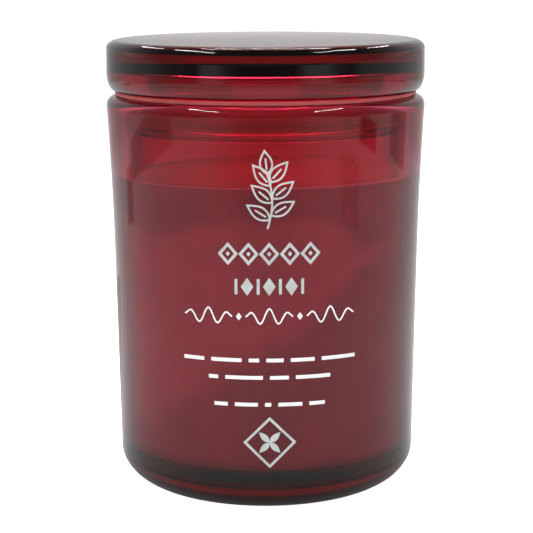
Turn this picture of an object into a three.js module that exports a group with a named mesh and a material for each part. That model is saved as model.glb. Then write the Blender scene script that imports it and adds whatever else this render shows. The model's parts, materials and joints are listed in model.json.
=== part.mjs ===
// A small scented candle: wax in a deep red glass jar, closed by a loose glass lid with a soft sealing ring.
// Millimetres, +Z up. The origin is the centre of the circle that the jar stands on.
// Every piece but the wick is turned about Z, from an outline of radius and height.
import * as THREE from 'three';

const SIDES = 48;

// Jar, outside
const JAR_HEIGHT = 80.15;
const WALL_FOOT_RADIUS = 29.85;
const WALL_TAPER = 0.0203;
const FLARE_START = 48;
const FLARE = 0.72;
const HEEL_WIDTH = 12.1;
const HEEL_HEIGHT = 8.2;
const PUNT_RADIUS = 13.8;
const PUNT_EDGE = 1.6;
const PUNT_DEPTH = 1.2;

// Jar, rim and inside
const WALL = 3.6;
const RIM_OUTER_WIDTH = 2.2;
const RIM_OUTER_DROP = 2.0;
const RIM_INNER_DROP = 1.0;
const FLOOR_HEIGHT = 8.9;
const FLOOR_CORNER = 3.0;

// Wax and wick
const WAX_LEVEL = 64.4;
const WAX_EDGE = 0.5;
const FILL_GAP = 0.3;
const WICK_RADIUS = 0.9;
const WICK_HEIGHT = 4.6;
const WICK_LEAN = 1;

// Lid
const LID_UNDERSIDE = 81;
const LID_TOP = 91.1;
const LID_RADIUS = 32;
const LID_TOP_ROUND = 2.4;
const LID_TOP_DROP = 1.7;
const LID_FOOT_ROUND = 1.7;
const LID_FOOT_RISE = 3.7;
const LID_PLATE = 5.7;
const LID_HOLLOW_RADIUS = 24.3;
const LID_HOLLOW_TAPER = 0.4;
const LID_HOLLOW_CORNER = 0.9;
const PLUG_FOOT = 73.1;
const PLUG_NECK_RADIUS = 26.7;
const PLUG_LIP_RADIUS = 27.4;
const PLUG_LIP_HEIGHT = 1.8;
const PLUG_LIP_ROUND = 0.8;

// Sealing ring
const SEAL_GAP = 0.08;
const SEAL_FLANGE_RADIUS = 30.3;
const SEAL_FLANGE_ROUND = 0.25;
const SEAL_SLEEVE = 0.7;
const SEAL_RIB_REACH = 0.65;
const SEAL_RIB_HALF = 0.5;
const SEAL_RIBS = [78.6, 76.4];

const point = (radius, height) => new THREE.Vector2(radius, height);

// Part of an ellipse about (radius, height), from one angle to another in degrees, ends included.
function arc(radius, height, halfWidth, halfHeight, from, to, steps) {
  const points = [];
  for (let step = 0; step <= steps; step += 1) {
    const angle = THREE.MathUtils.degToRad(from + ((to - from) * step) / steps);
    points.push(point(radius + halfWidth * Math.cos(angle), height + halfHeight * Math.sin(angle)));
  }
  return points;
}

// The jar's outer radius: a straight taper that opens out a little more towards the rim.
function wallRadius(height) {
  const flare = Math.max(0, (height - FLARE_START) / (JAR_HEIGHT - FLARE_START));
  return WALL_FOOT_RADIUS + WALL_TAPER * height + FLARE * flare * flare;
}

// Points up the wall from one height to another, moved inwards by inset.
function wallLine(from, to, inset, steps) {
  const points = [];
  for (let step = 0; step <= steps; step += 1) {
    const height = from + ((to - from) * step) / steps;
    points.push(point(wallRadius(height) - inset, height));
  }
  return points;
}

// A turned solid: the outline runs up the outside and down the inside, so that the faces point out.
function turned(outline) {
  const geometry = new THREE.LatheGeometry(outline, SIDES);
  geometry.rotateX(Math.PI / 2);
  return geometry;
}

function jarGeometry() {
  const rimOuterHeight = JAR_HEIGHT - RIM_OUTER_DROP;
  const rimInnerHeight = JAR_HEIGHT - RIM_INNER_DROP;
  const heelRadius = wallRadius(HEEL_HEIGHT) - HEEL_WIDTH;
  const rimOuterCentre = wallRadius(rimOuterHeight) - RIM_OUTER_WIDTH;
  const rimInnerRadius = wallRadius(rimInnerHeight) - WALL;
  const rimInnerWidth = rimOuterCentre - rimInnerRadius;
  const cornerHeight = FLOOR_HEIGHT + FLOOR_CORNER;
  const cornerRadius = wallRadius(cornerHeight) - WALL - FLOOR_CORNER;
  return turned([
    point(0, PUNT_DEPTH),
    ...arc(PUNT_RADIUS - PUNT_EDGE, 0, PUNT_EDGE, PUNT_DEPTH, 90, 0, 4),
    ...arc(heelRadius, HEEL_HEIGHT, HEEL_WIDTH, HEEL_HEIGHT, -90, 0, 10),
    ...wallLine(FLARE_START, rimOuterHeight, 0, 6),
    ...arc(rimOuterCentre, rimOuterHeight, RIM_OUTER_WIDTH, RIM_OUTER_DROP, 0, 90, 5).slice(1),
    ...arc(rimOuterCentre, rimInnerHeight, rimInnerWidth, RIM_INNER_DROP, 90, 180, 3).slice(1),
    ...wallLine(FLARE_START, rimInnerHeight, WALL, 4).reverse().slice(1),
    ...arc(cornerRadius, cornerHeight, FLOOR_CORNER, FLOOR_CORNER, 0, -90, 4),
    point(0, FLOOR_HEIGHT),
  ]);
}

// The wax follows the inside of the jar, a hair's breadth away from it.
function waxGeometry() {
  const foot = FLOOR_HEIGHT + FILL_GAP;
  const inset = WALL + FILL_GAP;
  const corner = FLOOR_CORNER - FILL_GAP;
  const edgeHeight = WAX_LEVEL - WAX_EDGE;
  return turned([
    point(0, foot),
    ...arc(wallRadius(foot + corner) - inset - corner, foot + corner, corner, corner, -90, 0, 4),
    ...wallLine(FLARE_START, edgeHeight, inset, 3),
    ...arc(wallRadius(edgeHeight) - inset - WAX_EDGE, edgeHeight, WAX_EDGE, WAX_EDGE, 0, 90, 2).slice(1),
    point(0, WAX_LEVEL),
  ]);
}

// A round wick that leaves the wax upright and leans a little towards its tip.
function wickGeometry() {
  const section = new THREE.Shape();
  section.absarc(0, 0, WICK_RADIUS, 0, 2 * Math.PI, false);
  const foot = WAX_LEVEL + FILL_GAP;
  const tip = WAX_LEVEL + WICK_HEIGHT;
  const line = new THREE.QuadraticBezierCurve3(
    new THREE.Vector3(0, 0, foot),
    new THREE.Vector3(0, 0, (foot + tip) / 2),
    new THREE.Vector3(-WICK_LEAN, 0, tip),
  );
  return new THREE.ExtrudeGeometry(section, { extrudePath: line, steps: 6, curveSegments: 5 });
}

// A thick slab with soft edges, and under it a hollow plug with a lip that holds the sealing ring.
function lidGeometry() {
  const lipTop = PLUG_FOOT + PLUG_LIP_HEIGHT;
  const ceiling = LID_TOP - LID_PLATE;
  const hollowTopRadius = LID_HOLLOW_RADIUS - LID_HOLLOW_TAPER;
  const lipRoundRadius = PLUG_LIP_RADIUS - PLUG_LIP_ROUND;
  const footRound = PLUG_FOOT + PLUG_LIP_ROUND;
  return turned([
    ...arc(LID_HOLLOW_RADIUS + PLUG_LIP_ROUND, footRound, PLUG_LIP_ROUND, PLUG_LIP_ROUND, 180, 270, 3),
    ...arc(lipRoundRadius, footRound, PLUG_LIP_ROUND, PLUG_LIP_ROUND, -90, 0, 3),
    point(PLUG_LIP_RADIUS, lipTop - 0.3),
    point(PLUG_NECK_RADIUS, lipTop),
    point(PLUG_NECK_RADIUS, LID_UNDERSIDE),
    ...arc(LID_RADIUS - LID_FOOT_ROUND, LID_UNDERSIDE + LID_FOOT_RISE, LID_FOOT_ROUND, LID_FOOT_RISE, -90, 0, 6),
    ...arc(LID_RADIUS - LID_TOP_ROUND, LID_TOP - LID_TOP_DROP, LID_TOP_ROUND, LID_TOP_DROP, 0, 90, 6),
    point(0, LID_TOP),
    point(0, ceiling),
    ...arc(hollowTopRadius - LID_HOLLOW_CORNER, ceiling - LID_HOLLOW_CORNER,
      LID_HOLLOW_CORNER, LID_HOLLOW_CORNER, 90, 0, 4),
    point(LID_HOLLOW_RADIUS, footRound),
  ]);
}

// A flange between rim and lid, and a sleeve round the plug with ribs that grip the jar.
function sealGeometry() {
  const inside = PLUG_NECK_RADIUS + SEAL_GAP;
  const outside = inside + SEAL_SLEEVE;
  const foot = PLUG_FOOT + PLUG_LIP_HEIGHT + SEAL_GAP;
  const flangeFoot = JAR_HEIGHT + SEAL_GAP;
  const flangeTop = LID_UNDERSIDE - SEAL_GAP;
  const edge = SEAL_FLANGE_RADIUS - SEAL_FLANGE_ROUND;
  const ribs = SEAL_RIBS.toReversed().flatMap((height) => [
    point(outside, height - SEAL_RIB_HALF),
    point(outside + SEAL_RIB_REACH, height),
    point(outside, height + SEAL_RIB_HALF),
  ]);
  return turned([
    point(inside, foot),
    point(outside, foot),
    ...ribs,
    point(outside, flangeFoot),
    ...arc(edge, flangeFoot + SEAL_FLANGE_ROUND, SEAL_FLANGE_ROUND, SEAL_FLANGE_ROUND, -90, 0, 2),
    ...arc(edge, flangeTop - SEAL_FLANGE_ROUND, SEAL_FLANGE_ROUND, SEAL_FLANGE_ROUND, 0, 90, 2),
    point(inside, flangeTop),
    point(inside, foot),
  ]);
}

const redGlass = { color: 0x7a1018, roughness: 0.05, metalness: 0, transparent: true, opacity: 0.6 };

const pieces = [
  ['jar', jarGeometry(), redGlass],
  ['wax', waxGeometry(), { color: 0xf1e4cc, roughness: 0.55, metalness: 0 }],
  ['wick', wickGeometry(), { color: 0xe9e2d2, roughness: 0.9, metalness: 0 }],
  ['seal', sealGeometry(), { color: 0xc4696a, roughness: 0.45, metalness: 0 }],
  ['lid', lidGeometry(), redGlass],
];

const candle = new THREE.Group();
for (const [name, geometry, finish] of pieces) {
  const mesh = new THREE.Mesh(geometry, new THREE.MeshStandardMaterial(finish));
  mesh.name = name;
  candle.add(mesh);
}

export default candle;
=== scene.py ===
import json
import math

import bpy
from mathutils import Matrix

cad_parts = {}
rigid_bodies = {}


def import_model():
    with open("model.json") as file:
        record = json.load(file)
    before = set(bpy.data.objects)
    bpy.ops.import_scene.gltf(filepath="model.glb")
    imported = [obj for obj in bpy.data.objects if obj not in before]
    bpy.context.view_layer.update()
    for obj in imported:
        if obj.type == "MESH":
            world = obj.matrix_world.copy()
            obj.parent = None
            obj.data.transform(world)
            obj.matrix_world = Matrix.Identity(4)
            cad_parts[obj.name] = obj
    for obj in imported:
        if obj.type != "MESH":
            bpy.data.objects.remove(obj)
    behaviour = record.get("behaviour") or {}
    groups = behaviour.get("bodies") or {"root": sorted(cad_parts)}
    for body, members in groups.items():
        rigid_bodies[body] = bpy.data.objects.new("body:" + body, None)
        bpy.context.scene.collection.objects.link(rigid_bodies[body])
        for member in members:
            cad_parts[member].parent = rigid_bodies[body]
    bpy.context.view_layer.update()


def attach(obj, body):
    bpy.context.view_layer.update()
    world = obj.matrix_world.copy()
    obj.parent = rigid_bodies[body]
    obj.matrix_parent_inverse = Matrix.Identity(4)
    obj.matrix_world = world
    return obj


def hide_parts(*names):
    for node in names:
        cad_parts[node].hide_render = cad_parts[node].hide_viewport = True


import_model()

MM = 0.001

# Jar
JAR_HEIGHT = 80.15 * MM
WALL_FOOT_RADIUS = 29.85 * MM
WALL_TAPER = 0.0203
FLARE_START = 48 * MM
FLARE = 0.72 * MM
HEEL_WIDTH = 12.1 * MM
HEEL_HEIGHT = 8.2 * MM
PUNT_RADIUS = 13.8 * MM
PUNT_EDGE = 1.6 * MM
PUNT_DEPTH = 1.2 * MM
WALL = 3.6 * MM
RIM_OUTER_WIDTH = 2.2 * MM
RIM_OUTER_DROP = 2.0 * MM
RIM_INNER_DROP = 1.0 * MM
FLOOR_HEIGHT = 8.9 * MM
FLOOR_CORNER = 3.0 * MM
# An extra ring this far below the rim's rounding keeps the shading of the wall straight.
RING_UNDER_RIM = 0.3 * MM

# Wax and wick
WAX_LEVEL = 64.4 * MM
WAX_INTO_WALL = 0.08 * MM
WAX_MENISCUS = 0.35 * MM
MENISCUS_WIDTH = 2.4 * MM
MENISCUS_CURVE = 2.5
MENISCUS_STEPS = (0.15, 0.35, 0.6, 1.0)
WAX_TOP_RINGS = (22 * MM, 18 * MM, 14 * MM, 10 * MM, 6 * MM, 3 * MM)
WAX_TOP_REACH = 0.1 * MM
WAX_TILT = math.radians(0.6)
WICK_RADIUS = 0.9 * MM
WICK_HEIGHT = 4.6 * MM
WICK_LEAN = 1 * MM
WICK_SUNK = 1.0 * MM
WICK_STEP = 0.22 * MM
WICK_TWIST = math.radians(13)
WICK_TIP_INSET = 0.12 * MM
WICK_TIP_RISE = 0.08 * MM
PLIES = 3
PLY_CENTRE = 0.52 * WICK_RADIUS
PLY_RADIUS = 0.92 * PLY_CENTRE
PLY_ANGLES = range(-75, 76, 25)

# Lid
LID_UNDERSIDE = 81 * MM
LID_TOP = 91.1 * MM
LID_RADIUS = 32 * MM
LID_TOP_ROUND = 2.4 * MM
LID_TOP_DROP = 1.7 * MM
LID_FOOT_ROUND = 1.7 * MM
LID_FOOT_RISE = 3.7 * MM
LID_PLATE = 5.7 * MM
LID_HOLLOW_RADIUS = 24.3 * MM
LID_HOLLOW_TAPER = 0.4 * MM
LID_HOLLOW_CORNER = 0.9 * MM
PLUG_FOOT = 73.1 * MM
PLUG_NECK_RADIUS = 26.7 * MM
PLUG_LIP_RADIUS = 27.4 * MM
PLUG_LIP_HEIGHT = 1.8 * MM
PLUG_LIP_ROUND = 0.8 * MM
PLUG_LIP_SLOPE = 0.3 * MM

# Sealing ring
SEAL_GAP = 0.08 * MM
FLANGE_GAP = 0.015 * MM
SEAL_FLANGE_RADIUS = 30.3 * MM
SEAL_FLANGE_ROUND = 0.25 * MM
SEAL_SLEEVE = 0.7 * MM
SEAL_RIB_REACH = 0.65 * MM
SEAL_RIB_HALF = 0.5 * MM
SEAL_RIBS = (76.4 * MM, 78.6 * MM)

TURN_STEPS = 192
MERGE_REACH = 0.002 * MM
SMOOTH_ANGLE = math.radians(35)
WICK_SMOOTH_ANGLE = math.radians(60)
FULL_TURN = 2 * math.pi


# ---- Modelling ----

def arc(radius, height, half_width, half_height, start, end, steps):
    """Points of (radius, height) on part of an ellipse, from one angle to another in degrees."""
    angles = [math.radians(start + (end - start) * step / steps) for step in range(steps + 1)]
    return [(radius + half_width * math.cos(a), height + half_height * math.sin(a)) for a in angles]


def wall_radius(height):
    """The jar's outer radius: a straight taper that opens out a little more towards the rim."""
    flare = max(0.0, (height - FLARE_START) / (JAR_HEIGHT - FLARE_START))
    return WALL_FOOT_RADIUS + WALL_TAPER * height + FLARE * flare * flare


def wall_line(low, high, inset, steps):
    """Points up the wall from one height to another, moved inwards by inset."""
    heights = [low + (high - low) * step / steps for step in range(steps + 1)]
    return [(wall_radius(height) - inset, height) for height in heights]


def new_mesh(name):
    """Starts a piece of that name with an empty mesh, left in edit mode."""
    bpy.ops.object.select_all(action="DESELECT")
    bpy.ops.mesh.primitive_plane_add(size=MM)
    piece = bpy.context.object
    piece.name = name
    piece.data.name = name
    bpy.ops.object.mode_set(mode="EDIT")
    bpy.ops.mesh.select_all(action="SELECT")
    bpy.ops.mesh.delete(type="VERT")
    return piece


def stretches(points, closed):
    """Pairs of neighbouring points, and of the last and the first on a closed line."""
    return zip(points, points[1:] + points[:1] if closed else points[1:])


def draw_line(points, closed=False):
    """Draws a line through points in the mesh that is being edited, by extruding its last vertex."""
    bpy.ops.mesh.primitive_plane_add(size=MM, location=points[0])
    bpy.ops.mesh.merge(type="CENTER")
    for here, there in stretches(points, closed):
        step = [b - a for a, b in zip(here, there)]
        bpy.ops.mesh.extrude_vertices_move(TRANSFORM_OT_translate={"value": step})


def merge_doubles():
    """Selects the whole edited mesh and merges the vertices that share a place."""
    bpy.ops.mesh.select_all(action="SELECT")
    bpy.ops.mesh.remove_doubles(threshold=MERGE_REACH)


def tidy_shell():
    """Merges doubles and turns every face of the edited mesh outwards."""
    merge_doubles()
    bpy.ops.mesh.normals_make_consistent(inside=False)


def turned(name, outline, closed=False):
    """A piece turned about Z from an outline of (radius, height)."""
    piece = new_mesh(name)
    draw_line([(radius, 0.0, height) for radius, height in outline], closed)
    bpy.ops.mesh.select_all(action="SELECT")
    bpy.ops.mesh.spin(steps=TURN_STEPS, angle=FULL_TURN, center=(0, 0, 0), axis=(0, 0, 1))
    tidy_shell()
    bpy.ops.object.mode_set(mode="OBJECT")
    bpy.ops.object.shade_smooth_by_angle(angle=SMOOTH_ANGLE)
    return piece


def select_where(piece, wanted):
    """In edit mode, selects only the vertices whose place passes the test."""
    bpy.ops.mesh.select_all(action="DESELECT")
    bpy.ops.object.mode_set(mode="OBJECT")
    for vertex in piece.data.vertices:
        vertex.select = wanted(vertex.co)
    bpy.ops.object.mode_set(mode="EDIT")


def apply_modifier(piece, kind, **settings):
    """Adds a modifier with these settings and applies it."""
    modifier = piece.modifiers.new(kind.title(), kind)
    for setting, value in settings.items():
        setattr(modifier, setting, value)
    bpy.context.view_layer.objects.active = piece
    bpy.ops.object.modifier_apply(modifier=modifier.name)


# ---- Glass, wax, ring and wick ----

def make_jar():
    rim_outer_height = JAR_HEIGHT - RIM_OUTER_DROP
    rim_inner_height = JAR_HEIGHT - RIM_INNER_DROP
    heel_radius = wall_radius(HEEL_HEIGHT) - HEEL_WIDTH
    rim_centre = wall_radius(rim_outer_height) - RIM_OUTER_WIDTH
    rim_inner_width = rim_centre - (wall_radius(rim_inner_height) - WALL)
    corner_height = FLOOR_HEIGHT + FLOOR_CORNER
    corner_radius = wall_radius(corner_height) - WALL - FLOOR_CORNER
    return turned("jar_glass", [
        (0.0, PUNT_DEPTH),
        *arc(PUNT_RADIUS - PUNT_EDGE, 0, PUNT_EDGE, PUNT_DEPTH, 90, 0, steps=8),
        *arc(heel_radius, HEEL_HEIGHT, HEEL_WIDTH, HEEL_HEIGHT, -90, 0, steps=28),
        *wall_line(FLARE_START, rim_outer_height - RING_UNDER_RIM, 0, steps=14),
        (wall_radius(rim_outer_height), rim_outer_height),
        *arc(rim_centre, rim_outer_height, RIM_OUTER_WIDTH, RIM_OUTER_DROP, 0, 90, steps=18)[1:],
        *arc(rim_centre, rim_inner_height, rim_inner_width, RIM_INNER_DROP, 90, 180, steps=8)[1:],
        *wall_line(FLARE_START, rim_inner_height, WALL, steps=12)[-2::-1],
        *arc(corner_radius, corner_height, FLOOR_CORNER, FLOOR_CORNER, 0, -90, steps=10),
        (0.0, FLOOR_HEIGHT),
    ])


def make_wax():
    """The wax reaches just into the wall, and its top climbs the glass a little at the edge."""
    inset = WALL - WAX_INTO_WALL
    foot = FLOOR_HEIGHT - WAX_INTO_WALL
    corner = FLOOR_CORNER + WAX_INTO_WALL
    edge_height = WAX_LEVEL + WAX_MENISCUS
    edge_radius = wall_radius(edge_height) - inset
    climb = [(edge_radius - MENISCUS_WIDTH * share, WAX_LEVEL + WAX_MENISCUS * (1 - share) ** MENISCUS_CURVE)
             for share in MENISCUS_STEPS]
    rings = [(radius, WAX_LEVEL) for radius in WAX_TOP_RINGS]
    wax = turned("wax_fill", [
        (0.0, foot),
        *arc(wall_radius(foot + corner) - inset - corner, foot + corner, corner, corner, -90, 0, steps=8),
        *wall_line(FLARE_START, edge_height, inset, steps=8),
        *climb,
        *rings,
        (0.0, WAX_LEVEL),
    ])
    bpy.ops.object.mode_set(mode="EDIT")
    select_where(wax, lambda place: place.z > WAX_LEVEL - WAX_TOP_REACH)
    bpy.ops.transform.rotate(value=WAX_TILT, orient_axis="Y", center_override=(0, 0, WAX_LEVEL))
    bpy.ops.object.mode_set(mode="OBJECT")
    return wax


def make_lid():
    """A thick slab over a hollow plug, from the middle of its ceiling round the lip to the top."""
    lip_top = PLUG_FOOT + PLUG_LIP_HEIGHT
    ceiling = LID_TOP - LID_PLATE
    hollow_top = LID_HOLLOW_RADIUS - LID_HOLLOW_TAPER - LID_HOLLOW_CORNER
    lip_centre = PLUG_FOOT + PLUG_LIP_ROUND
    return turned("lid_glass", [
        (0.0, ceiling),
        *arc(hollow_top, ceiling - LID_HOLLOW_CORNER, LID_HOLLOW_CORNER, LID_HOLLOW_CORNER,
             90, 0, steps=10),
        *arc(LID_HOLLOW_RADIUS + PLUG_LIP_ROUND, lip_centre, PLUG_LIP_ROUND, PLUG_LIP_ROUND,
             180, 270, steps=6),
        *arc(PLUG_LIP_RADIUS - PLUG_LIP_ROUND, lip_centre, PLUG_LIP_ROUND, PLUG_LIP_ROUND,
             -90, 0, steps=6),
        (PLUG_LIP_RADIUS, lip_top - PLUG_LIP_SLOPE),
        (PLUG_NECK_RADIUS, lip_top),
        (PLUG_NECK_RADIUS, LID_UNDERSIDE),
        *arc(LID_RADIUS - LID_FOOT_ROUND, LID_UNDERSIDE + LID_FOOT_RISE, LID_FOOT_ROUND, LID_FOOT_RISE,
             -90, 0, steps=16),
        *arc(LID_RADIUS - LID_TOP_ROUND, LID_TOP - LID_TOP_DROP, LID_TOP_ROUND, LID_TOP_DROP,
             0, 90, steps=16),
        (0.0, LID_TOP),
    ])


def make_seal():
    """A flange between rim and lid, and a sleeve round the plug with two ribs that grip the jar."""
    inside = PLUG_NECK_RADIUS + SEAL_GAP
    outside = inside + SEAL_SLEEVE
    flange_foot = JAR_HEIGHT + FLANGE_GAP
    flange_top = LID_UNDERSIDE - FLANGE_GAP
    edge = SEAL_FLANGE_RADIUS - SEAL_FLANGE_ROUND
    foot = PLUG_FOOT + PLUG_LIP_HEIGHT + SEAL_GAP
    ribs = [point for height in SEAL_RIBS
            for point in arc(outside, height, SEAL_RIB_REACH, SEAL_RIB_HALF, -90, 90, steps=6)]
    return turned("seal_ring", [
        (inside, foot),
        (outside, foot),
        *ribs,
        (outside, flange_foot),
        *arc(edge, flange_foot + SEAL_FLANGE_ROUND, SEAL_FLANGE_ROUND, SEAL_FLANGE_ROUND, -90, 0, steps=5),
        *arc(edge, flange_top - SEAL_FLANGE_ROUND, SEAL_FLANGE_ROUND, SEAL_FLANGE_ROUND, 0, 90, steps=5),
        (inside, flange_top),
    ], closed=True)


def make_wick():
    """Three twisted plies: a clover section that is lifted and turned step by step, leaning at the tip."""
    steps = round((WICK_HEIGHT + WICK_SUNK) / WICK_STEP)
    foot = WAX_LEVEL - WICK_SUNK
    section = []
    for ply in range(PLIES):
        middle = FULL_TURN * ply / PLIES
        for angle in PLY_ANGLES:
            turn = middle + math.radians(angle)
            section.append((PLY_CENTRE * math.cos(middle) + PLY_RADIUS * math.cos(turn),
                            PLY_CENTRE * math.sin(middle) + PLY_RADIUS * math.sin(turn), foot))
    wick = new_mesh("wick_plies")
    draw_line(section, closed=True)
    merge_doubles()
    bpy.ops.mesh.edge_face_add()
    place = 0.0
    for step in range(1, steps + 1):
        share = max(0.0, (step * WICK_STEP - WICK_SUNK) / WICK_HEIGHT)
        lean = -WICK_LEAN * share * share
        bpy.ops.mesh.extrude_region_move(TRANSFORM_OT_translate={"value": (lean - place, 0, WICK_STEP)})
        place = lean
        centre = (place, 0, foot + step * WICK_STEP)
        bpy.ops.transform.rotate(value=WICK_TWIST, orient_axis="Z", center_override=centre)
    bpy.ops.mesh.inset(thickness=WICK_TIP_INSET, depth=WICK_TIP_RISE)
    tidy_shell()
    bpy.ops.object.mode_set(mode="OBJECT")
    bpy.ops.object.shade_smooth_by_angle(angle=WICK_SMOOTH_ANGLE)
    return wick


# ---- Print on the front ----

INK_CENTRE = 0.6 * MM
INK_SUNK = 0.03 * MM
INK_PROUD = 0.05 * MM
SHEET_PLACE = -45 * MM
# The longest stretch sideways, in millimetres, of a line that follows the round wall.
STEP_ON_WALL = 0.7


def draw_on_sheet(line, closed=False):
    """Draws a line of (x, z) in millimetres, in fine steps, on a flat sheet in front of the jar."""
    fine = []
    for (x, z), (x2, z2) in stretches(line, closed):
        steps = max(1, math.ceil(abs(x2 - x) / STEP_ON_WALL))
        fine += [(x + (x2 - x) * step / steps, z + (z2 - z) * step / steps) for step in range(steps)]
    if not closed:
        fine.append(line[-1])
    draw_line([(INK_CENTRE + x * MM, SHEET_PLACE, z * MM) for x, z in fine], closed)


def widen(share):
    """Scales what is selected about the jar's axis."""
    bpy.ops.transform.resize(value=(share, share, 1), center_override=(0, 0, 0))


def press_on_wall(piece, jar):
    """Lays a flat drawing against the jar's wall and sinks it a hair's breadth into the glass."""
    bpy.ops.object.mode_set(mode="OBJECT")
    apply_modifier(piece, "SHRINKWRAP", target=jar, wrap_method="PROJECT",
                   use_project_y=True, use_positive_direction=True)
    bpy.ops.object.mode_set(mode="EDIT")
    bpy.ops.mesh.select_all(action="SELECT")
    widen(1 - INK_SUNK / WALL_FOOT_RADIUS)


def raise_ink():
    """Moves what was just extruded out to the ink's face."""
    widen(1 + (INK_SUNK + INK_PROUD) / WALL_FOOT_RADIUS)


def ink_strokes(name, jar, lines, loops, width):
    """Strokes of one width along open lines and closed loops."""
    piece = new_mesh(name)
    for line in lines:
        draw_on_sheet(line)
    for loop in loops:
        draw_on_sheet(loop, closed=True)
    merge_doubles()
    press_on_wall(piece, jar)
    bpy.ops.mesh.extrude_edges_move()
    raise_ink()
    bpy.ops.object.mode_set(mode="OBJECT")
    apply_modifier(piece, "SOLIDIFY", thickness=width, offset=0, use_even_offset=True)
    bpy.ops.object.mode_set(mode="EDIT")
    tidy_shell()
    bpy.ops.object.mode_set(mode="OBJECT")
    return piece


def ink_shapes(name, jar, loops):
    """Filled shapes inside closed loops."""
    piece = new_mesh(name)
    for loop in loops:
        draw_on_sheet(loop, closed=True)
        bpy.ops.mesh.select_linked()
        bpy.ops.mesh.remove_doubles(threshold=MERGE_REACH)
        bpy.ops.mesh.edge_face_add()
    press_on_wall(piece, jar)
    bpy.ops.mesh.extrude_region_move()
    raise_ink()
    tidy_shell()
    bpy.ops.object.mode_set(mode="OBJECT")
    return piece


def joined(name, pieces):
    """Joins finished pieces into one with its own name."""
    bpy.ops.object.select_all(action="DESELECT")
    for piece in pieces:
        piece.select_set(True)
    bpy.context.view_layer.objects.active = pieces[0]
    bpy.ops.object.join()
    pieces[0].name = name
    pieces[0].data.name = name
    return pieces[0]


def lozenge(x, z, half_width, half_height):
    return [(x - half_width, z), (x, z - half_height), (x + half_width, z), (x, z + half_height)]


def leaf(x, z, angle, length, half_width, steps=9):
    """A leaf's outline, from its base at (x, z), pointing at that angle from +X in degrees."""
    along = [step / steps for step in range(steps + 1)]
    swell = [half_width * math.sin(math.pi * share ** LEAF_SWELL) for share in along]
    outline = [(length * share, -width) for share, width in zip(along, swell)]
    outline += [(length * share, width) for share, width in list(zip(along, swell))[-2:0:-1]]
    turn = math.radians(angle)
    return [(x + a * math.cos(turn) - b * math.sin(turn), z + a * math.sin(turn) + b * math.cos(turn))
            for a, b in outline]


def midrib(x, z, angle, start, end):
    turn = math.radians(angle)
    return [(x + reach * math.cos(turn), z + reach * math.sin(turn)) for reach in (start, end)]


# Places and sizes in the print, in millimetres on the sheet: x from the middle, z from the foot.
SPRIG_FOOT = 57.2
SPRIG_TIP = 67.6
LEAF_LENGTH = 5.0
LEAF_HALF = 1.15
LEAF_SWELL = 0.85
# Height on the stem and angle of each leaf.
SPRIG_LEAVES = ((59.0, 148), (59.8, 30), (62.2, 140), (63.0, 38), (65.4, 130), (66.1, 48))
LEAF_STROKE = 0.36 * MM
RIB_START = 0.9
RIB_END = 3.3
TOP_LEAF_ANGLE = 97
TOP_LEAF_LENGTH = 4.4
TOP_RIB_END = 3.0
STEM_BOW = 0.9
STEM_SHIFT = -0.3
STEM_STEPS = 12
CHAIN_HEIGHT = 52.4
CHAIN_PLACES = (-7.8, -3.9, 0, 3.9, 7.8)
CHAIN_LOZENGE = (1.55, 1.8)
CHAIN_CORE = (0.42, 0.5)
CHAIN_STROKE = 0.56 * MM
ROW_HEIGHT = 46.1
ROW_PLACES = (-4.2, 0, 4.2)
ROW_LOZENGE = (1.2, 1.75)
BAR_PLACES = (-6.3, -2.1, 2.1, 6.3)
BAR_HALF = 1.5
WAVE_HEIGHT = 40.3
WAVE_RISE = 1.55
WAVE_SPAN = 9.0
WAVE_PLACES = (-11.6, 0, 11.6)
WAVE_CRESTS = 2.5
WAVE_STEPS = 32
WAVE_FADE = 0.6
WAVE_STROKE = 0.3 * MM
STOP_PLACES = (-5.8, 5.8)
STOP_LOZENGE = (0.55, 0.75)
# Height of each fine row and the lengths of its dashes.
FINE_ROWS = (
    (31.8, (3.9, 5.8, 2.0, 3.3, 4.6, 6.4)),
    (28.4, (1.8, 7.2, 3.6, 6.6)),
    (23.1, (2.6, 4.4, 1.2, 4.6, 3.0)),
)
DASH_GAP = 1.35
DASH_STROKE = 0.72 * MM
MARK_HEIGHT = 15.6
MARK_LOZENGE = (4.75, 4.75)
MARK_STROKE = 0.5 * MM
PETAL_LENGTH = 2.9
PETAL_HALF = 0.62
PETAL_ANGLES = (45, 135, 225, 315)


def stem_x(height):
    """The stem bows to one side on its way up."""
    share = (height - SPRIG_FOOT) / (SPRIG_TIP - SPRIG_FOOT)
    return STEM_BOW * math.sin(math.pi * share) + STEM_SHIFT


def sprig_lines():
    heights = [SPRIG_FOOT + (SPRIG_TIP - SPRIG_FOOT) * step / STEM_STEPS for step in range(STEM_STEPS + 1)]
    stem = [(stem_x(z), z) for z in heights]
    ribs = [midrib(stem_x(z), z, angle, RIB_START, RIB_END) for z, angle in SPRIG_LEAVES]
    return [stem] + ribs + [midrib(stem_x(SPRIG_TIP), SPRIG_TIP, TOP_LEAF_ANGLE, RIB_START, TOP_RIB_END)]


def sprig_leaves():
    leaves = [leaf(stem_x(z), z, angle, LEAF_LENGTH, LEAF_HALF) for z, angle in SPRIG_LEAVES]
    return leaves + [leaf(stem_x(SPRIG_TIP), SPRIG_TIP, TOP_LEAF_ANGLE, TOP_LEAF_LENGTH, LEAF_HALF)]


def wave(middle):
    """One stretch of a running wave that fades out at both ends."""
    line = []
    for step in range(WAVE_STEPS + 1):
        share = step / WAVE_STEPS
        x = middle + WAVE_SPAN * (share - 0.5)
        rise = WAVE_RISE * math.sin(math.pi * share) ** WAVE_FADE
        line.append((x, WAVE_HEIGHT + rise * math.sin(FULL_TURN * WAVE_CRESTS * share)))
    return line


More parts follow.
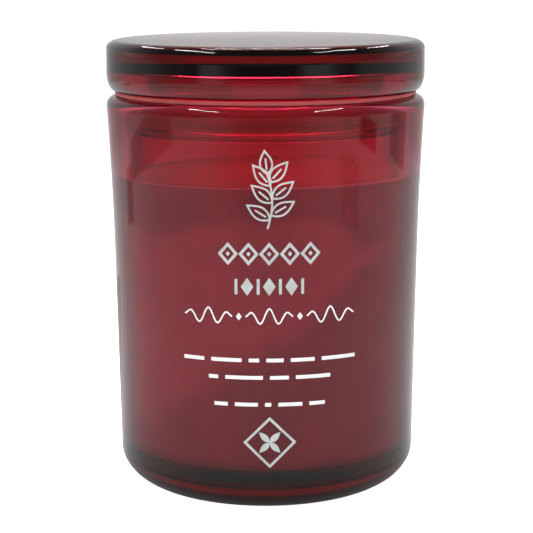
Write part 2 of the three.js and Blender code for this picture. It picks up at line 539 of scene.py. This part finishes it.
def dashes(height, lengths):
    """A centred row of dashes."""
    x = -(sum(lengths) + DASH_GAP * (len(lengths) - 1)) / 2
    row = []
    for length in lengths:
        row.append([(x, height), (x + length, height)])
        x += length + DASH_GAP
    return row


def make_silver_print(jar):
    """A leafy sprig, a chain of open lozenges, a row of bars and lozenges, and a lozenge mark."""
    chain = [lozenge(x, CHAIN_HEIGHT, *CHAIN_LOZENGE) for x in CHAIN_PLACES]
    chain_cores = [lozenge(x, CHAIN_HEIGHT, *CHAIN_CORE) for x in CHAIN_PLACES]
    row_shapes = [lozenge(x, ROW_HEIGHT, *ROW_LOZENGE) for x in ROW_PLACES]
    row_bars = [[(x, ROW_HEIGHT - BAR_HALF), (x, ROW_HEIGHT + BAR_HALF)] for x in BAR_PLACES]
    petals = [leaf(0, MARK_HEIGHT, angle, PETAL_LENGTH, PETAL_HALF, steps=6) for angle in PETAL_ANGLES]
    return joined("print_silver", [
        ink_strokes("sprig", jar, sprig_lines(), sprig_leaves(), LEAF_STROKE),
        ink_strokes("title", jar, row_bars, chain, CHAIN_STROKE),
        ink_strokes("mark", jar, [], [lozenge(0, MARK_HEIGHT, *MARK_LOZENGE)], MARK_STROKE),
        ink_shapes("fills", jar, chain_cores + row_shapes + petals),
    ])


def make_white_print(jar):
    """A running wave with small lozenges, and rows of dashes."""
    waves = [wave(middle) for middle in WAVE_PLACES]
    rows = [dash for height, lengths in FINE_ROWS for dash in dashes(height, lengths)]
    return joined("print_white", [
        ink_strokes("waves", jar, waves, [], WAVE_STROKE),
        ink_strokes("dashes", jar, rows, [], DASH_STROKE),
        ink_shapes("stops", jar, [lozenge(x, WAVE_HEIGHT, *STOP_LOZENGE) for x in STOP_PLACES]),
    ])


# ---- Materials ----

class Nodes:
    """A node tree being built, and short ways to add nodes to it."""

    # The colour sockets of a Mix node, which has unnamed ones for numbers and vectors too.
    FIRST_COLOUR, SECOND_COLOUR, MIXED_COLOUR = 6, 7, 2

    def __init__(self, tree):
        self.tree = tree
        self.link = tree.links.new

    def node(self, kind, **settings):
        made = self.tree.nodes.new("ShaderNode" + kind)
        for setting, value in settings.items():
            setattr(made, setting, value)
        return made

    def feed(self, socket, value):
        """Links a socket to another, or sets its plain value."""
        if isinstance(value, bpy.types.NodeSocket):
            self.link(value, socket)
        else:
            socket.default_value = value

    def maths(self, operation, first, second):
        made = self.node("Math", operation=operation)
        self.feed(made.inputs[0], first)
        self.feed(made.inputs[1], second)
        return made.outputs["Value"]

    def times(self, *values):
        """The product of all these values."""
        product = values[0]
        for value in values[1:]:
            product = self.maths("MULTIPLY", product, value)
        return product

    def without(self, mask):
        """Everything that a mask leaves out."""
        return self.maths("SUBTRACT", 1, mask)

    def ranged(self, value, low, high, to_low, to_high, soft=False):
        """A value moved from one range to another. A soft one eases in and out."""
        spread = self.node("MapRange", interpolation_type="SMOOTHSTEP" if soft else "LINEAR")
        for socket, number in (("Value", value), ("From Min", low), ("From Max", high),
                               ("To Min", to_low), ("To Max", to_high)):
            self.feed(spread.inputs[socket], number)
        return spread.outputs["Result"]

    def band(self, value, low, high, soft):
        """A mask that is 1 between two values and fades out beyond them."""
        return self.times(self.ranged(value, low - soft, low, 0, 1, soft=True),
                          self.ranged(value, high, high + soft, 1, 0, soft=True))

    def ramp(self, value, stops):
        """A value read from a table of (place, level), with the places moved to the ramp's own 0 to 1."""
        ramp = self.node("ValToRGB")
        marks = ramp.color_ramp.elements
        while len(marks) < len(stops):
            marks.new(0.5)
        low, high = stops[0][0], stops[-1][0]
        for mark, (place, level) in zip(marks, stops):
            mark.position = (place - low) / (high - low)
            mark.color = (level, level, level, 1)
        self.link(self.ranged(value, low, high, 0, 1), ramp.inputs["Fac"])
        return ramp.outputs["Color"]

    def split(self, vector):
        """The sockets X, Y and Z of a vector."""
        axes = self.node("SeparateXYZ")
        self.link(vector, axes.inputs["Vector"])
        return axes.outputs

    def length(self, vector):
        made = self.node("VectorMath", operation="LENGTH")
        self.link(vector, made.inputs[0])
        return made.outputs["Value"]

    def blend(self, share, first, second):
        """A colour between two, by a mask."""
        mix = self.node("Mix", data_type="RGBA")
        self.feed(mix.inputs["Factor"], share)
        for number, value in ((self.FIRST_COLOUR, first), (self.SECOND_COLOUR, second)):
            self.feed(mix.inputs[number], value if isinstance(value, bpy.types.NodeSocket) else (*value, 1))
        return mix.outputs[self.MIXED_COLOUR]

    def either(self, share, first, second):
        """One shader or another, by a mask."""
        mix = self.node("MixShader")
        self.link(share, mix.inputs["Fac"])
        self.link(first, mix.inputs[1])
        self.link(second, mix.inputs[2])
        return mix.outputs["Shader"]


def new_group(name, **numbers):
    """A node group that makes a mask from a place and these numbers: its nodes, inputs and output."""
    tree = bpy.data.node_groups.new(name, "ShaderNodeTree")
    tree.interface.new_socket(name="Place", in_out="INPUT", socket_type="NodeSocketVector")
    for socket, number in numbers.items():
        made = tree.interface.new_socket(name=socket, in_out="INPUT", socket_type="NodeSocketFloat")
        made.default_value = number
    tree.interface.new_socket(name="Mask", in_out="OUTPUT", socket_type="NodeSocketFloat")
    given = tree.nodes.new("NodeGroupInput").outputs
    return Nodes(tree), given, tree.nodes.new("NodeGroupOutput").inputs["Mask"]


def make_mottle_group():
    """Soft uneven patches from 0 to 1, with an edge as soft as the gap between Low and High."""
    group, given, mask = new_group("soft_mottle", Scale=100.0, Detail=3.0, Low=0.4, High=0.6)
    noise = group.node("TexNoise")
    group.link(given["Place"], noise.inputs["Vector"])
    group.link(given["Scale"], noise.inputs["Scale"])
    group.link(given["Detail"], noise.inputs["Detail"])
    group.link(group.ranged(noise.outputs["Fac"], given["Low"], given["High"], 0, 1, soft=True), mask)
    return group.tree


def make_speck_group():
    """Sparse small specks, such as dust, pinholes or bubbles. Share is how many cells hold one."""
    group, given, mask = new_group("fine_specks", Scale=600.0, Size=0.2, Share=0.1)
    cells = group.node("TexVoronoi")
    group.link(given["Place"], cells.inputs["Vector"])
    group.link(given["Scale"], cells.inputs["Scale"])
    lot = group.node("SeparateColor")
    group.link(cells.outputs["Color"], lot.inputs["Color"])
    near = group.maths("LESS_THAN", cells.outputs["Distance"], given["Size"])
    chosen = group.maths("LESS_THAN", lot.outputs["Red"], given["Share"])
    group.link(group.times(near, chosen), mask)
    return group.tree


def socket_name(word):
    """The shader's own name for a socket, such as Base Color for base_color."""
    return word.replace("_", " ").title().replace("Ior", "IOR")


class Finish(Nodes):
    """A material being built: one Principled shader, and short ways to add nodes before it."""

    def __init__(self, name, **plain):
        self.material = bpy.data.materials.new(name)
        self.material.use_nodes = True
        super().__init__(self.material.node_tree)
        self.shader = next(node for node in self.tree.nodes if node.type == "BSDF_PRINCIPLED")
        self.output = next(node for node in self.tree.nodes if node.type == "OUTPUT_MATERIAL")
        self.place = self.node("TexCoord").outputs["Object"]
        for socket, value in plain.items():
            self.shader.inputs[socket_name(socket)].default_value = value

    def from_group(self, group, place=None, **values):
        """A node group's mask, with its own values."""
        made = self.node("Group", node_tree=group)
        self.link(place or self.place, made.inputs["Place"])
        for socket, value in values.items():
            made.inputs[socket.title()].default_value = value
        return made.outputs["Mask"]

    def stretched(self, scale):
        """Object coordinates stretched along the axes."""
        mapping = self.node("Mapping")
        self.link(self.place, mapping.inputs["Vector"])
        mapping.inputs["Scale"].default_value = scale
        return mapping.outputs["Vector"]

    def bump(self, height, distance):
        bump = self.node("Bump")
        bump.inputs["Distance"].default_value = distance
        self.link(height, bump.inputs["Height"])
        return bump.outputs["Normal"]

    def finish(self, **sockets):
        for socket, value in sockets.items():
            self.link(value, self.shader.inputs[socket_name(socket)])
        return self.material


mottle = make_mottle_group()
specks = make_speck_group()

GLASS_IOR = 1.52
GLASS_ABSORPTION = 120
GLASS_VOLUME_COLOUR = (0.79, 0.0, 0.25, 1)
GLASS_FILM = (0.60, 0.085, 0.15)
GLASS_FILM_DEEP = (0.56, 0.07, 0.13)
STREAK_STRETCH = (1, 1, 0.25)
GLASS_RIPPLE = 0.012 * MM
SMEAR_ROUGHNESS = 0.02
DUST_ROUGHNESS = 0.3
# A slant of 0 is square on to a face, and 1 is along it. The red coat swallows light that comes from inside
# the glass at a slant: none up to the first value, and most of it from the second on.
COAT_CLEAR = 0.45
COAT_DARK = 0.8
COAT_LOSS = 0.97
# Light that enters at a slant is tinted more, from the first value to the second.
EDGE_CLEAR = 0.44
EDGE_DARK = 0.66
EDGE_FILM = (0.17, 0.025, 0.045)
# The coat lies below and above these heights, and between them on what is farther out than this radius.
COAT_BELOW = 8.5 * MM
COAT_ABOVE = 83.5 * MM
COAT_BEYOND = 28.8 * MM
# The lid's plug and the rounding on the jar's rim are nearly clear.
BARE_FILM = (0.97, 0.90, 0.91)
BARE_EDGE = 0.1 * MM
RIM_BARE_FROM = 78.3 * MM
RIM_BARE_FULL = 79.2 * MM
RIM_BARE_TO = 80.5 * MM
# Between these heights the jar's wall is thin, and its coat swallows only this share as much.
WALL_BRIGHT_FROM = 12 * MM
WALL_BRIGHT_TO = 80.5 * MM
WALL_LOSS_LEFT = 0.35


def red_glass():
    """Glass with a thin red coat, a faint ripple and a few marks from handling."""
    glass = Finish("red_glass", transmission_weight=1.0, ior=GLASS_IOR)
    ripple = glass.from_group(mottle, scale=70, detail=1, low=0.2, high=0.8)
    streaks = glass.from_group(mottle, glass.stretched(STREAK_STRETCH), scale=55, detail=2, low=0.3, high=0.7)
    smear = glass.from_group(mottle, scale=45, detail=4, low=0.55, high=0.75)
    dust = glass.from_group(specks, scale=420, size=0.13, share=0.035)
    marks = glass.maths("MAXIMUM", glass.times(smear, SMEAR_ROUGHNESS), glass.times(dust, DUST_ROUGHNESS))

    height = glass.split(glass.place)["Z"]
    reach = glass.length(glass.stretched((1, 1, 0)))
    rim = glass.times(glass.ranged(height, RIM_BARE_FROM, RIM_BARE_FULL, 0, 1, soft=True),
                      glass.maths("LESS_THAN", height, RIM_BARE_TO))
    outside = glass.times(glass.maths("GREATER_THAN", reach, COAT_BEYOND), glass.without(rim))
    ends = glass.maths("MAXIMUM", glass.maths("LESS_THAN", height, COAT_BELOW),
                       glass.maths("GREATER_THAN", height, COAT_ABOVE))
    coat = glass.maths("MAXIMUM", outside, ends)
    plug = glass.times(glass.ranged(height, PLUG_FOOT - BARE_EDGE, PLUG_FOOT, 0, 1),
                       glass.maths("LESS_THAN", reach, PLUG_LIP_RADIUS + BARE_EDGE),
                       glass.without(coat))
    wall = glass.times(glass.maths("GREATER_THAN", height, WALL_BRIGHT_FROM),
                       glass.maths("LESS_THAN", height, WALL_BRIGHT_TO))

    weight = glass.node("LayerWeight")
    weight.inputs["Blend"].default_value = 0.5
    slant = weight.outputs["Facing"]
    swallowed = glass.times(glass.ranged(slant, COAT_CLEAR, COAT_DARK, 0, COAT_LOSS, soft=True),
                            glass.node("NewGeometry").outputs["Backfacing"],
                            coat,
                            glass.ranged(wall, 0, 1, 1, WALL_LOSS_LEFT))
    black = glass.node("BsdfDiffuse")
    black.inputs["Color"].default_value = (0, 0, 0, 1)
    coated = glass.either(swallowed, glass.shader.outputs["BSDF"], black.outputs["BSDF"])
    glass.link(coated, glass.output.inputs["Surface"])
    absorption = glass.node("VolumeAbsorption")
    absorption.inputs["Color"].default_value = GLASS_VOLUME_COLOUR
    absorption.inputs["Density"].default_value = GLASS_ABSORPTION
    glass.link(absorption.outputs["Volume"], glass.output.inputs["Volume"])

    entering = glass.ranged(slant, EDGE_CLEAR, EDGE_DARK, 0, 1, soft=True)
    film = glass.blend(entering, glass.blend(streaks, GLASS_FILM, GLASS_FILM_DEEP), EDGE_FILM)
    return glass.finish(
        base_color=glass.blend(glass.maths("MAXIMUM", plug, rim), film, BARE_FILM),
        roughness=marks,
        normal=glass.bump(ripple, GLASS_RIPPLE),
    )


# Between a lower and an upper slanting line the wax has come away from the glass. Each line is a pair of
# heights that it fades in or out between, with a slope along X, and both wander up and down.
LOOSE_FOOT = (27 * MM, 34 * MM)
LOOSE_FOOT_SLOPE = -0.8
LOOSE_HEAD = (52 * MM, 58 * MM)
LOOSE_HEAD_SLOPE = 0.2
LOOSE_WANDER = 6 * MM
WAX_FACE = (64.3 * MM, 64.5 * MM)
# Tones from cloud to cloud.
WAX_CLINGING = ((0.50, 0.43, 0.34), (0.55, 0.47, 0.38))
WAX_LOOSE = ((0.74, 0.67, 0.55), (0.79, 0.73, 0.63))
# The top is painted much paler than the sides: painted light for the light that falls on it through the lid.
WAX_TOP_PAINTED_LIGHT = ((0.95, 0.90, 0.80), (0.98, 0.94, 0.86))
WAX_ROUGHNESS = (0.42, 0.6)
WAX_RELIEF = 0.03 * MM
# The poured top is smoother: what is left there of roughness and relief.
TOP_ROUGHNESS_LEFT = 0.15
TOP_RELIEF_LEFT = 0.05


def candle_wax():
    """Cream wax, paler where it has come away from the glass and darker where it still clings. Its top is
    painted paler still: painted light.
    """
    wax = Finish("candle_wax", subsurface_weight=0.25, subsurface_scale=4 * MM,
                 subsurface_radius=(1.0, 0.6, 0.35))
    axes = wax.split(wax.place)
    patches = wax.from_group(mottle, scale=32, detail=2, low=0.3, high=0.7)
    clouds = wax.from_group(mottle, scale=110, detail=5, low=0.3, high=0.7)
    frost = wax.from_group(mottle, scale=900, detail=3, low=0.35, high=0.75)
    pits = wax.from_group(specks, scale=500, size=0.16, share=0.05)
    wander = wax.ranged(patches, 0, 1, -LOOSE_WANDER, LOOSE_WANDER)

    def height_on(slope):
        return wax.maths("ADD", wax.maths("ADD", axes["Z"], wax.times(axes["X"], slope)), wander)

    loose = wax.times(wax.ranged(height_on(LOOSE_FOOT_SLOPE), *LOOSE_FOOT, 0, 1, soft=True),
                      wax.ranged(height_on(LOOSE_HEAD_SLOPE), *LOOSE_HEAD, 1, 0, soft=True))
    top = wax.ranged(axes["Z"], *WAX_FACE, 0, 1)
    side_tone = wax.blend(loose, wax.blend(clouds, *WAX_CLINGING), wax.blend(clouds, *WAX_LOOSE))
    relief = wax.times(wax.maths("SUBTRACT", frost, pits), wax.ranged(top, 0, 1, 1, TOP_RELIEF_LEFT))
    return wax.finish(
        # The top's paler tone is painted light.
        base_color=wax.blend(top, side_tone, wax.blend(clouds, *WAX_TOP_PAINTED_LIGHT)),
        roughness=wax.times(wax.ranged(clouds, 0, 1, *WAX_ROUGHNESS),
                            wax.ranged(top, 0, 1, 1, TOP_ROUGHNESS_LEFT)),
        normal=wax.bump(relief, WAX_RELIEF),
    )


# Tones from cloud to cloud: the flange is seen from outside, and the sleeve through the glass. The sleeve's
# tones are painted light: the same silicone painted paler to make up for the light that the glass takes away.
SEAL_FLANGE_TONES = ((0.50, 0.105, 0.11), (0.56, 0.13, 0.135))
SEAL_SLEEVE_PAINTED_LIGHT_TONES = ((0.84, 0.18, 0.20), (0.90, 0.22, 0.24))
SEAL_TONE_EDGE = 0.3 * MM
SEAL_DUST = (0.62, 0.35, 0.34)
SEAL_DUST_SHARE = 0.5
SEAL_ROUGHNESS = (0.38, 0.55)
SEAL_RELIEF = 0.01 * MM


def pink_silicone():
    """Milky pink silicone with a satin face."""
    rubber = Finish("pink_silicone", subsurface_weight=0.4, subsurface_scale=2 * MM,
                    subsurface_radius=(1.0, 0.35, 0.3))
    cloud = rubber.from_group(mottle, scale=180, detail=3, low=0.3, high=0.7)
    grain = rubber.from_group(mottle, scale=2600, detail=2, low=0.3, high=0.7)
    dust = rubber.from_group(specks, scale=900, size=0.16, share=0.06)
    in_jar = rubber.ranged(rubber.split(rubber.place)["Z"], JAR_HEIGHT - SEAL_TONE_EDGE, JAR_HEIGHT, 1, 0)
    flange = rubber.blend(cloud, *SEAL_FLANGE_TONES)
    # Inside the jar the sleeve takes its paler tones, which are painted light.
    body = rubber.blend(in_jar, flange, rubber.blend(cloud, *SEAL_SLEEVE_PAINTED_LIGHT_TONES))
    return rubber.finish(
        base_color=rubber.blend(rubber.times(dust, SEAL_DUST_SHARE), body, SEAL_DUST),
        roughness=rubber.ranged(grain, 0, 1, *SEAL_ROUGHNESS),
        normal=rubber.bump(grain, SEAL_RELIEF),
    )


COTTON_STRETCH = (1, 1, 0.12)
COTTON_TONES = ((0.72, 0.66, 0.55), (0.90, 0.86, 0.77))
COTTON_SOAKED = (0.80, 0.70, 0.52)
COTTON_SOAK_SHARE = 0.6
COTTON_ROUGHNESS = (0.55, 0.85)
COTTON_RELIEF = 0.06 * MM


def waxed_cotton():
    """Cotton plies of fine fibres, stiff with wax."""
    cotton = Finish("waxed_cotton", sheen_weight=0.15)
    along = cotton.stretched(COTTON_STRETCH)
    fibre = cotton.from_group(mottle, along, scale=5200, detail=3, low=0.3, high=0.7)
    soak = cotton.from_group(mottle, scale=500, detail=2, low=0.35, high=0.65)
    pale = cotton.blend(fibre, *COTTON_TONES)
    return cotton.finish(
        base_color=cotton.blend(cotton.times(soak, COTTON_SOAK_SHARE), pale, COTTON_SOAKED),
        roughness=cotton.ranged(soak, 0, 1, *COTTON_ROUGHNESS),
        normal=cotton.bump(fibre, COTTON_RELIEF),
    )


# Ink tones from where it lies thick to where it lies thin.
SILVER_TONES = ((0.62, 0.65, 0.63), (0.52, 0.55, 0.54))
SILVER_METALLIC = 0.25
WHITE_TONES = ((0.90, 0.91, 0.90), (0.82, 0.83, 0.83))
PINHOLE_TONE = (0.35, 0.22, 0.23)
PINHOLE_SHARE = 0.35
INK_ROUGHNESS = (0.3, 0.45)
INK_RELIEF = 0.006 * MM


def ink(name, tones, metallic):
    """Screen-printed ink: a little uneven where it lay thinner, with pinholes."""
    print_ink = Finish(name, metallic=metallic)
    lay = print_ink.from_group(mottle, scale=260, detail=4, low=0.3, high=0.7)
    grain = print_ink.from_group(mottle, scale=3800, detail=3, low=0.35, high=0.65)
    pinholes = print_ink.from_group(specks, scale=1500, size=0.2, share=0.05)
    body = print_ink.blend(lay, *tones)
    return print_ink.finish(
        base_color=print_ink.blend(print_ink.times(pinholes, PINHOLE_SHARE), body, PINHOLE_TONE),
        roughness=print_ink.ranged(grain, 0, 1, *INK_ROUGHNESS),
        normal=print_ink.bump(grain, INK_RELIEF),
    )


# ---- The candle ----

def dress(piece, node, material):
    """Gives a finished piece its material, puts it on the root body, and hides the packed part that it stands
    in for, if any.
    """
    piece.data.materials.clear()
    piece.data.materials.append(material)
    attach(piece, "root")
    if node:
        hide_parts(node)


jar = make_jar()
silver_print = make_silver_print(jar)
white_print = make_white_print(jar)
glass = red_glass()
dress(jar, "jar", glass)
dress(make_lid(), "lid", glass)
dress(make_seal(), "seal", pink_silicone())
dress(make_wax(), "wax", candle_wax())
dress(make_wick(), "wick", waxed_cotton())
dress(silver_print, None, ink("silver_ink", SILVER_TONES, SILVER_METALLIC))
dress(white_print, None, ink("white_ink", WHITE_TONES, 0.0))


# ---- Studio ----
# Places and distances in metres, and azimuths in degrees: 0 is towards the camera, 90 to its right.

CAMERA_PLACE = (0.0003, -0.380, 0.1110)
CAMERA_PITCH = math.radians(9.906)
CAMERA_ROLL = math.radians(0.2)
CAMERA_LENS = 127.05
CAMERA_SENSOR = 36
CAMERA_NEAR = 0.01
CAMERA_FAR = 20

FLOOR_RADIUS = 3.0
FLOOR_SIDES = 96
FLOOR_PAPER = (0.8, 0.8, 0.8, 1)
FLOOR_ROUGHNESS = 0.9
# Brightness of the floor against the distance from the jar's axis. Near the axis it is dark: a painted shadow
# under the jar.
FLOOR_GLOW = (
    (0.0, 0.02), (0.018, 0.04), (0.026, 0.20), (0.034, 0.50), (0.045, 0.76), (0.09, 0.90),
    (0.15, 0.93), (0.20, 0.88), (0.28, 0.81), (0.36, 0.78), (0.50, 0.70), (0.80, 0.68),
)
# It is brighter behind the jar than in front: how far ahead a place lies, as a cosine, and the light there.
FLOOR_AHEAD = (-0.6, 0.95)
FLOOR_AHEAD_LIGHT = (1.06, 0.80)
# Brightness of the far floor against the azimuth, and the distances between which it takes over.
FAR_GLOW = (
    (-180, 1.0), (-160, 0.95), (-147, 0.75), (-112, 0.72), (-91, 0.62), (-72, 0.35), (-50, 0.2),
    (-43, 1.0), (-34, 0.9), (-26, 0.35), (-15, 0.16), (20, 0.2), (30, 0.9), (43, 1.0), (52, 0.4),
    (62, 0.2), (72, 0.6), (91, 0.65), (112, 0.78), (147, 0.75), (160, 0.95), (180, 1.0),
)
FAR_FLOOR = (0.46, 0.54)
# Darker cards round the set, mirrored in the glass: azimuth from and to, distance from and to, light left.
SHADE_CARDS = (
    (100, 117, 0.42, 0.56, 0.55),
    (70, 82, 0.40, 0.435, 0.25),
    (56, 67, 0.30, 0.37, 0.70),
    (-110, -70, 0.395, 0.46, 0.52),
    (-119, -113, 0.33, 0.42, 0.5),
    (-172, -143, 0.08, 0.24, 0.66),
)
CARD_TURN_SOFT = 3
CARD_REACH_SOFT = 0.008
# The shade of the camera's stand: azimuths to either side, distances where it begins and ends, light lost.
STAND_TURN = (6, 48)
STAND_NEAR = (0.26, 0.36)
STAND_FAR = (0.39, 0.405)
STAND_SHADE = 0.62
# More light on the floor behind the jar: sideways reach as a share of the distance, and the distances.
BACK_SPREAD = (0.18, 0.45)
BACK_REACH = (0.20, 0.45)
BACK_LIGHT = 0.30
NEVER_ZERO = 0.001

# Fades of the tent's light along an axis of the direction: the axis, from and to, light there.
TENT_FADES = (
    ("Y", -0.2, 0.6, 0.12, 1.0),
    ("Z", -0.02, 0.06, 0.90, 0.64),
    ("Z", 0.35, 0.8, 1.0, 0.05),
)
TENT_LEAST = 0.12
BACKDROP_STRENGTH = 1.4

LAMP_HEIGHT = 0.35
# Narrow strips that draw the glints, and soft lamps that the glass does not mirror:
# name, place, turn in degrees, length, width, watts, mirrored.
LAMPS = (
    ("strip_near", (-0.16, -0.04, LAMP_HEIGHT), (0, 0, 90), 0.26, 0.008, 0.37, True),
    ("strip_far", (-0.17, 0.26, LAMP_HEIGHT), (0, 0, 90), 0.22, 0.006, 0.13, True),
    ("strip_near", (0.16, -0.04, LAMP_HEIGHT), (0, 0, 90), 0.26, 0.008, 0.37, True),
    ("strip_far", (0.17, 0.26, LAMP_HEIGHT), (0, 0, 90), 0.22, 0.006, 0.13, True),
    ("strip_cross", (0, 0.165, LAMP_HEIGHT), (0, 0, 0), 0.17, 0.008, 0.35, True),
    ("soft_overhead", (0, 0.02, LAMP_HEIGHT), (0, 0, 0), 0.5, 0.5, 4.5, False),
    ("soft_front", (0, -1.2, LAMP_HEIGHT), (75, 0, 0), 1.3, 0.6, 8.0, False),
)
DEEPEST_BOUNCES = 24
GLOSSY_BOUNCES = 8


def make_camera():
    bpy.ops.object.camera_add(location=CAMERA_PLACE, rotation=(math.pi / 2 - CAMERA_PITCH, CAMERA_ROLL, 0))
    camera = bpy.context.object
    camera.data.lens = CAMERA_LENS
    camera.data.sensor_width = CAMERA_SENSOR
    camera.data.clip_start = CAMERA_NEAR
    camera.data.clip_end = CAMERA_FAR
    bpy.context.scene.camera = camera


def make_floor():
    """A plain white floor, with darker cards round the set and a shaded place where the camera stands."""
    bpy.ops.object.select_all(action="DESELECT")
    bpy.ops.mesh.primitive_circle_add(vertices=FLOOR_SIDES, radius=FLOOR_RADIUS, fill_type="NGON")
    floor = bpy.context.object
    floor.name = "studio_floor"
    paper = Finish("studio_paper", base_color=FLOOR_PAPER, roughness=FLOOR_ROUGHNESS,
                   emission_color=(1, 1, 1, 1), emission_strength=1.0)
    axes = paper.split(paper.place)
    distance = paper.length(paper.place)
    ahead = paper.times(axes["Y"], -1)
    azimuth = paper.times(paper.maths("ARCTAN2", axes["X"], ahead), 180 / math.pi)
    facing = paper.maths("DIVIDE", ahead, paper.maths("MAXIMUM", distance, NEVER_ZERO))
    level = paper.times(paper.ramp(distance, FLOOR_GLOW),
                        paper.ranged(facing, *FLOOR_AHEAD, *FLOOR_AHEAD_LIGHT))
    for turn_from, turn_to, near, far, left in SHADE_CARDS:
        card = paper.times(paper.band(azimuth, turn_from, turn_to, CARD_TURN_SOFT),
                           paper.band(distance, near, far, CARD_REACH_SOFT))
        level = paper.times(level, paper.ranged(card, 0, 1, 1, left))
    stand = paper.times(paper.ranged(paper.maths("ABSOLUTE", azimuth, 0), *STAND_TURN, 1, 0, soft=True),
                        paper.ranged(distance, *STAND_NEAR, 0, STAND_SHADE, soft=True),
                        paper.ranged(distance, *STAND_FAR, 1, 0, soft=True))
    far_shade = paper.times(paper.ranged(distance, *FAR_FLOOR, 0, 1, soft=True),
                            paper.without(paper.ramp(azimuth, FAR_GLOW)))
    level = paper.times(level, paper.without(stand), paper.without(far_shade))
    behind = paper.maths("MAXIMUM", axes["Y"], NEVER_ZERO)
    sideways = paper.maths("DIVIDE", paper.maths("ABSOLUTE", axes["X"], 0), behind)
    back_light = paper.times(paper.ranged(sideways, *BACK_SPREAD, 1, 0, soft=True),
                             paper.ranged(behind, *BACK_REACH, 0, BACK_LIGHT, soft=True))
    glow = paper.node("Emission")
    paper.link(paper.maths("ADD", level, back_light), glow.inputs["Strength"])
    seen = paper.node("LightPath").outputs["Is Camera Ray"]
    surface = paper.either(seen, glow.outputs["Emission"], paper.shader.outputs["BSDF"])
    paper.link(surface, paper.output.inputs["Surface"])
    floor.data.materials.append(paper.material)


def make_world():
    """A white tent behind and beside the candle, dim overhead and in front. The camera sees plain white."""
    world = bpy.data.worlds.new("light_tent")
    bpy.context.scene.world = world
    world.use_nodes = True
    world.node_tree.nodes.clear()
    sky = Nodes(world.node_tree)
    axes = sky.split(sky.node("TexCoord").outputs["Generated"])
    wall = sky.times(*(sky.ranged(axes[axis], *fade, soft=True) for axis, *fade in TENT_FADES))
    tent = sky.node("Background")
    sky.link(sky.maths("ADD", wall, TENT_LEAST), tent.inputs["Strength"])
    white = sky.node("Background")
    white.inputs["Strength"].default_value = BACKDROP_STRENGTH
    seen = sky.node("LightPath").outputs["Is Camera Ray"]
    surface = sky.either(seen, tent.outputs["Background"], white.outputs["Background"])
    sky.link(surface, sky.node("OutputWorld").inputs["Surface"])


def make_lights():
    """Rectangular lamps that the camera does not see. Each faces down until it is turned."""
    for name, place, turn, length, width, watts, mirrored in LAMPS:
        rotation = [math.radians(angle) for angle in turn]
        bpy.ops.object.light_add(type="AREA", location=place, rotation=rotation)
        lamp = bpy.context.object
        lamp.name = name
        lamp.data.shape = "RECTANGLE"
        lamp.data.size = length
        lamp.data.size_y = width
        lamp.data.energy = watts
        lamp.visible_camera = False
        lamp.visible_glossy = mirrored


make_camera()
make_floor()
make_world()
make_lights()
scene = bpy.context.scene
scene.view_settings.view_transform = "Standard"
scene.cycles.max_bounces = DEEPEST_BOUNCES
scene.cycles.transmission_bounces = DEEPEST_BOUNCES
scene.cycles.glossy_bounces = GLOSSY_BOUNCES
